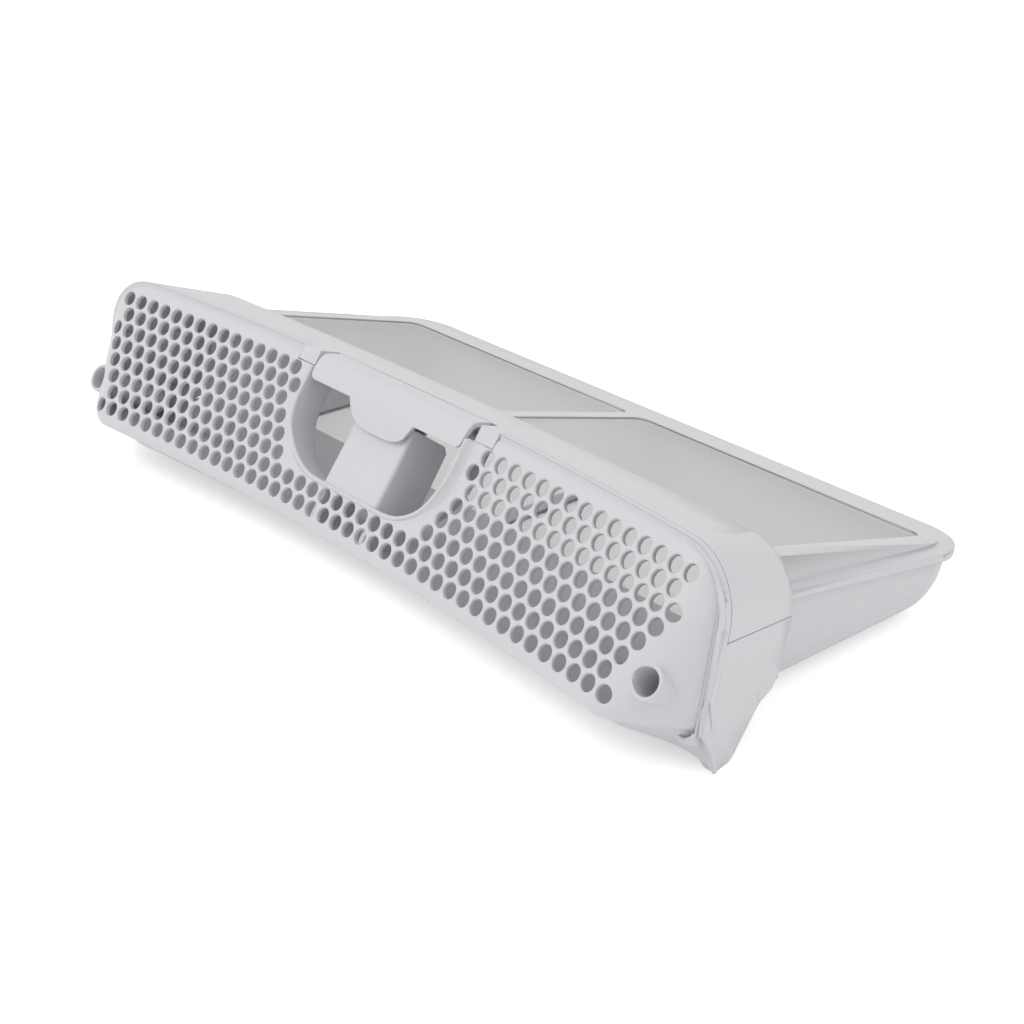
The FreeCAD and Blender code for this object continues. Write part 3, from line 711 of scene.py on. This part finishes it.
def notch():
    """Block that opens the face's upper edge for the flap and its tabs."""
    outline = [(-NOTCH_REACH, -NOTCH_REACH), (NOTCH_DOWN, -NOTCH_REACH), (NOTCH_DOWN, NOTCH_REACH),
               (-NOTCH_REACH, NOTCH_REACH)]
    return prism(-NOTCH_HALF_WIDTH, NOTCH_HALF_WIDTH, outline, flat_point)


def boss_tube(x):
    """Open tube for a screw, with a rounded lip and a seat at its bottom."""
    radius = 0.5 * (BOSS_RADIUS - BOSS_BORE)
    seat = BOSS_SEAT - BOSS_DEPTH
    profile = [(SCREW_HOLE, -BOSS_DEPTH), (BOSS_RADIUS, -BOSS_DEPTH)]
    profile += arc(BOSS_RADIUS - radius, -BOSS_SETBACK - radius, radius, 0.0, math.pi, LIP_STEPS)
    profile += [(BOSS_BORE, seat), (SCREW_HOLE, seat)]
    centre = face_point(x, BOSS_DOWN, 0.0)
    rings = []
    for k in range(BOSS_SEGMENTS):
        turn = 2 * math.pi * k / BOSS_SEGMENTS
        spoke = Vector((math.cos(turn), 0, 0)) + ROW_DOWN * math.sin(turn)
        rings.append([centre + spoke * r + FACE_NORMAL * h for r, h in profile])
    return rings_mesh("boss", rings, "joined")


def boss_clearing(x):
    """Bar that opens the face inside a screw boss."""
    circle = arc(0.0, 0.0, BOSS_BORE, 0.0, 2 * math.pi, BOSS_SEGMENTS)[:-1]
    rings = []
    for out in (-BOSS_DEPTH, BOSS_OPENING):
        centre = face_point(x, BOSS_DOWN, 0.0) + FACE_NORMAL * out
        rings.append([centre + Vector((across, 0, 0)) + ROW_DOWN * down for across, down in circle])
    return rings_mesh("clearing", rings)


def front_piece():
    """The grille: rim from the frame, with a soft face, round holes, collar, grip bar and bosses."""
    bar = link("bar", grip_bar())
    combine(bar, bar_hollow(), "DIFFERENCE")
    combine(bar, catch(), "UNION")
    skin = link("skin", wedge_skin())
    combine(skin, hole_cutters(), "DIFFERENCE")
    for x in (-BOSS_X, BOSS_X):
        combine(skin, boss_clearing(x), "DIFFERENCE")
        combine(skin, boss_tube(x), "UNION")
    combine(skin, recess_column(), "DIFFERENCE")
    combine(skin, notch(), "DIFFERENCE")
    combine(skin, recess_collar(), "UNION")
    combine(skin, bar.data, "UNION")
    piece = plain_piece("front_grille")
    combine(piece, before_rim(), "DIFFERENCE")
    combine(piece, inside_rim(), "DIFFERENCE")
    combine(piece, flange(), "UNION")
    combine(piece, skin.data, "UNION")
    bpy.data.objects.remove(bar)
    bpy.data.objects.remove(skin)
    return piece


def shell_piece():
    """Lower shell from the frame, with the ledge of each end wall closed inside."""
    piece = plain_piece("lower_shell")
    for side in (-1, 1):
        first, last = sorted((side * LEDGE_START, side * LEDGE_END))
        combine(piece, prism(first, last, LEDGE_OUTLINE, case_point), "UNION")
    return piece


def flap_end(x):
    """How far down the face the flap reaches at x: a straight lip with a round lobe over the grip bar."""
    side = min(abs(x) / LOBE_HALF_WIDTH, 1.0)
    lobe = (1.0 - side ** LOBE_SQUARENESS) ** LOBE_FULLNESS
    corner = max(abs(x) - (FLAP_HALF_WIDTH - FLAP_CORNER), 0.0)
    rise = FLAP_CORNER - math.sqrt(max(FLAP_CORNER ** 2 - corner ** 2, 0.0))
    return FLAP_LIP - rise + (LOBE_END - FLAP_LIP) * lobe


def visor_section(curve, lengths, end):
    """Outer and inner points of the visor's sheet along the curve, down to its end."""
    index = next(n for n, p in enumerate(curve) if p[0] >= end - TINY and n > VISOR_STEPS)
    a, b = curve[index - 1], curve[index]
    whole = lengths[index - 1] + (lengths[index] - lengths[index - 1]) * (end - a[0]) / (b[0] - a[0])
    outer, inner = [], []
    for n in range(VISOR_ALONG + 1):
        goal = whole * n / VISOR_ALONG
        i = next(m for m in range(1, len(lengths)) if lengths[m] >= goal - TINY)
        t = (goal - lengths[i - 1]) / (lengths[i] - lengths[i - 1])
        before, a, b = (Vector(curve[m]) for m in (max(i - 2, 0), i - 1, i))
        along = ((b - a).normalized() + (b - before).normalized()).normalized()
        place = a + t * (b - a)
        thickness = FLAP_SKIN if n < VISOR_ALONG else FLAP_EDGE
        outer.append(place)
        inner.append(place + Vector((along.y, -along.x)) * thickness)
    return outer + list(reversed(inner))


def flap_shell():
    """Visor of the flap with its lobe, as a bent sheet of even thickness."""
    curve = curve_through(VISOR_ROOF + VISOR_CROWN + VISOR_LOBE, VISOR_STEPS)
    lengths = [0.0]
    for a, b in zip(curve, curve[1:]):
        lengths.append(lengths[-1] + math.hypot(b[0] - a[0], b[1] - a[1]))
    rings = []
    for k in range(VISOR_ACROSS + 1):
        x = FLAP_HALF_WIDTH * math.sin(0.5 * math.pi * (2 * k / VISOR_ACROSS - 1))
        section = visor_section(curve, lengths, flap_end(x))
        rings.append([flat_point(x, down, out) for down, out in section])
    return rings_mesh("flap", rings)


def flap_piece():
    """The latch flap: visor, two lugs on its pins and the hook behind it."""
    piece = link("latch_flap_finish", flap_shell())
    lug = LUG_BASE + arc(PIVOT_DOWN, -PIVOT_IN, LUG_RADIUS, 0.0, -math.pi, LUG_STEPS)
    for side in (-1, 1):
        first, last = sorted((side * LUG_START, side * LUG_END))
        combine(piece, prism(first, last, lug, flat_point), "UNION")
    combine(piece, prism(-HOOK_HALF_WIDTH, HOOK_HALF_WIDTH, HOOK_OUTLINE, flat_point), "UNION")
    return piece


class Graph:
    """Material with a principled shader, built node by node."""

    def __init__(self, name):
        self.material = bpy.data.materials.new(name)
        self.material.use_nodes = True
        self.nodes = self.material.node_tree.nodes
        self.links = self.material.node_tree.links
        self.shader = self.nodes["Principled BSDF"]
        self.place = self.add("ShaderNodeTexCoord").outputs["Object"]

    def add(self, kind, inputs=None, **settings):
        """New node with its settings and its input values or links."""
        node = self.nodes.new(kind)
        for key, value in settings.items():
            setattr(node, key, value)
        for key, value in (inputs or {}).items():
            self.feed(node.inputs[key], value)
        return node

    def feed(self, socket, value):
        """Link a socket to another, or set its value."""
        if isinstance(value, bpy.types.NodeSocket):
            self.links.new(value, socket)
        else:
            socket.default_value = value

    def noise(self, scale, detail=2.0):
        """Noise in the object's own space."""
        node = self.add("ShaderNodeTexNoise", {"Vector": self.place, "Scale": scale, "Detail": detail})
        return node.outputs["Fac"]

    def calculate(self, operation, first, second=0.0):
        """Result of a calculation with one or two values."""
        return self.add("ShaderNodeMath", {0: first, 1: second}, operation=operation).outputs[0]

    def ramp(self, factor, low, high):
        """Mix of two colours by a factor."""
        node = self.add("ShaderNodeMix", data_type="RGBA")
        self.feed(node.inputs[MIX_FACTOR], factor)
        self.feed(node.inputs[MIX_LOW], (*low, 1.0))
        self.feed(node.inputs[MIX_HIGH], (*high, 1.0))
        return node.outputs[MIX_RESULT]

    def span(self, factor, low, high):
        """Factor stretched from its middle range to a range of values."""
        node = self.add("ShaderNodeMapRange", {"Value": factor, "From Min": NOISE_LOW, "From Max": NOISE_HIGH,
                                               "To Min": low, "To Max": high})
        return node.outputs["Result"]

    def bump(self, **inputs):
        """Relief on the shader's normal, from inputs named as the node's own."""
        node = self.add("ShaderNodeBump", inputs)
        self.feed(self.shader.inputs["Normal"], node.outputs["Normal"])


def plastic():
    """Matt white moulded plastic: faint mottling, fine spark-eroded grain, softened edges."""
    g = Graph("white_plastic")
    mottling = g.noise(scale=9.0, detail=3.0)
    g.feed(g.shader.inputs["Base Color"], g.ramp(mottling, WHITE_PLASTIC_SHADE, WHITE_PLASTIC))
    g.feed(g.shader.inputs["Roughness"], g.span(g.noise(scale=240.0), low=0.42, high=0.52))
    g.shader.inputs["Specular IOR Level"].default_value = 0.42
    edge = g.add("ShaderNodeBevel", {"Radius": 0.45 * MM}, samples=4)
    g.bump(Strength=0.05, Distance=0.1 * MM, Height=g.noise(scale=2600.0), Normal=edge.outputs["Normal"])
    return g.material


def cloth():
    """Fine woven filter mesh: two sets of threads, with the small gaps between them painted darker as shade.
    """
    g = Graph("filter_mesh")
    axes = g.add("ShaderNodeSeparateXYZ", {"Vector": g.place})
    threads = []
    for axis in ("X", "Y"):
        turn = g.calculate("MULTIPLY", axes.outputs[axis], 2 * math.pi / THREAD_PITCH)
        threads.append(g.calculate("ABSOLUTE", g.calculate("SINE", turn)))
    weave = g.calculate("MAXIMUM", *threads)
    # Threads take the cloth's colour and the gaps between them a darker one, as painted shade
    weave_gap_shade_mask = g.span(weave, low=0.0, high=1.0)
    g.feed(g.shader.inputs["Base Color"], g.ramp(weave_gap_shade_mask, FILTER_CLOTH_PAINTED_GAP_SHADE, FILTER_CLOTH))
    g.shader.inputs["Roughness"].default_value = 0.62
    g.shader.inputs["Sheen Weight"].default_value = 0.08
    g.shader.inputs["Alpha"].default_value = CLOTH_COVER
    g.bump(Strength=0.35, Distance=0.12 * MM, Height=weave)
    return g.material


def metal():
    """Plain drawn steel with faint streaks."""
    g = Graph("steel")
    g.shader.inputs["Base Color"].default_value = (*STEEL, 1.0)
    g.shader.inputs["Metallic"].default_value = 1.0
    g.feed(g.shader.inputs["Roughness"], g.span(g.noise(scale=900.0), low=0.26, high=0.38))
    g.bump(Strength=0.05, Distance=0.05 * MM, Height=g.noise(scale=4000.0))
    return g.material


def moulding(piece, node, body, material):
    """Finish a moulded piece and let it stand for its node."""
    smooth(piece)
    piece.data.materials.clear()
    piece.data.materials.append(material)
    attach(piece, body)
    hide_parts(node)


def stretched_cloth(node, body, material, front_high):
    """Sheet of filter mesh across one window, let into its groove on every side."""
    low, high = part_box(node)
    way = 1 if front_high else -1
    z_front, z_rear = (high.z, low.z) if front_high else (low.z, high.z)
    z_front -= way * CLOTH_FRONT_INSET
    z_rear += way * CLOTH_REAR_INSET
    bm = bmesh.new()
    grid = []
    for j in range(CLOTH_CELLS + 1):
        t = j / CLOTH_CELLS
        row = []
        for i in range(CLOTH_CELLS + 1):
            s = i / CLOTH_CELLS
            dip = CLOTH_SAG * (1 - (2 * s - 1) ** 2) * (1 - (2 * t - 1) ** 2)
            x = low.x + s * (high.x - low.x)
            y = low.y + t * (high.y - low.y)
            row.append(bm.verts.new((x, y, z_front + t * (z_rear - z_front) - dip * way)))
        grid.append(row)
    for near, far in zip(grid, grid[1:]):
        for i in range(CLOTH_CELLS):
            bm.faces.new((near[i], near[i + 1], far[i + 1], far[i]))
    mesh = finished_mesh(bm, node + "_cloth")
    mesh.shade_smooth()
    mesh.materials.append(material)
    piece = link(node + "_cloth", mesh)
    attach(piece, body)
    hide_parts(node)


def seen_directly(nodes, links):
    """Socket that is 1 for rays from the camera and from glossy reflections."""
    path = nodes.new("ShaderNodeLightPath")
    seen = nodes.new("ShaderNodeMath")
    seen.operation = "MAXIMUM"
    links.new(path.outputs["Is Camera Ray"], seen.inputs[0])
    links.new(path.outputs["Is Glossy Ray"], seen.inputs[1])
    return seen.outputs[0]


def backdrop():
    """Plain white floor that only the shadow shows on."""
    bpy.ops.mesh.primitive_plane_add(size=FLOOR_SIZE, location=(0, 0, 0))
    floor = bpy.context.object
    floor.name = "floor"
    material = bpy.data.materials.new("floor")
    material.use_nodes = True
    nodes = material.node_tree.nodes
    links = material.node_tree.links
    shader = nodes["Principled BSDF"]
    shader.inputs["Base Color"].default_value = (*BACKDROP, 1.0)
    shader.inputs["Roughness"].default_value = 0.9
    shader.inputs["Specular IOR Level"].default_value = 0.1
    share = nodes.new("ShaderNodeMath")
    share.operation = "MULTIPLY"
    share.inputs[1].default_value = FLOOR_GLOW
    links.new(seen_directly(nodes, links), share.inputs[0])
    glow = nodes.new("ShaderNodeEmission")
    links.new(share.outputs[0], glow.inputs["Strength"])
    both = nodes.new("ShaderNodeAddShader")
    links.new(shader.outputs[0], both.inputs[0])
    links.new(glow.outputs[0], both.inputs[1])
    links.new(both.outputs[0], nodes["Material Output"].inputs["Surface"])
    floor.data.materials.append(material)


def world():
    """Even white surroundings: white to the camera, softer as a light."""
    surroundings = bpy.data.worlds.new("surroundings")
    bpy.context.scene.world = surroundings
    surroundings.use_nodes = True
    nodes = surroundings.node_tree.nodes
    links = surroundings.node_tree.links
    light = nodes["Background"]
    light.inputs["Color"].default_value = (1.0, 1.0, 1.0, 1.0)
    light.inputs["Strength"].default_value = WORLD_LIGHT
    white = nodes.new("ShaderNodeBackground")
    white.inputs["Strength"].default_value = 1.0
    mix = nodes.new("ShaderNodeMixShader")
    links.new(seen_directly(nodes, links), mix.inputs[0])
    links.new(light.outputs[0], mix.inputs[1])
    links.new(white.outputs[0], mix.inputs[2])
    links.new(mix.outputs[0], nodes["World Output"].inputs["Surface"])


def lamp(name, place, power):
    """Soft square lamp aimed at the object."""
    data = bpy.data.lights.new(name, "AREA")
    data.size = LAMP_SIZE
    data.energy = power
    made = link(name, data)
    made.location = place
    made.rotation_euler = (LAMP_TARGET - place).to_track_quat("-Z", "Y").to_euler()


def camera():
    """Camera at the photograph's place, angle and field of view."""
    data = bpy.data.cameras.new("camera")
    data.sensor_width = SENSOR_WIDTH
    data.lens = SENSOR_WIDTH * FOCAL_PIXELS / PHOTO_PIXELS
    made = link("camera", data)
    level = Vector((math.cos(CAMERA_AZIMUTH), math.sin(CAMERA_AZIMUTH), 0.0))
    back = Vector((math.sin(CAMERA_AZIMUTH) * math.cos(CAMERA_ELEVATION),
                   -math.cos(CAMERA_AZIMUTH) * math.cos(CAMERA_ELEVATION), math.sin(CAMERA_ELEVATION)))
    over = back.cross(level)
    right = level * math.cos(CAMERA_ROLL) + over * math.sin(CAMERA_ROLL)
    up = over * math.cos(CAMERA_ROLL) - level * math.sin(CAMERA_ROLL)
    turned = Matrix((right, up, back)).transposed().to_4x4()
    made.matrix_world = Matrix.Translation(CAMERA_PLACE) @ turned
    bpy.context.scene.camera = made


def dress():
    """Give every node its finish."""
    white = plastic()
    mesh = cloth()
    steel = metal()
    moulding(front_piece(), "front_grille", "case", white)
    moulding(shell_piece(), "lower_shell", "case", white)
    moulding(plain_piece("upper_frame"), "upper_frame", "lid", white)
    moulding(flap_piece(), "latch_flap", "flap", white)
    for side in ("left", "right"):
        stretched_cloth("upper_mesh_" + side, "lid", mesh, True)
        stretched_cloth("lower_mesh_" + side, "case", mesh, False)
        for node in ("grille_screw_", "hinge_pin_", "latch_pin_"):
            data = frame["nodes"][node + side].data
            data.materials.clear()
            data.materials.append(steel)


camera()
world()
backdrop()
lamp("key", KEY_PLACE, KEY_POWER)
lamp("fill", FILL_PLACE, FILL_POWER)
dress()
bpy.context.scene.view_settings.view_transform = "Standard"
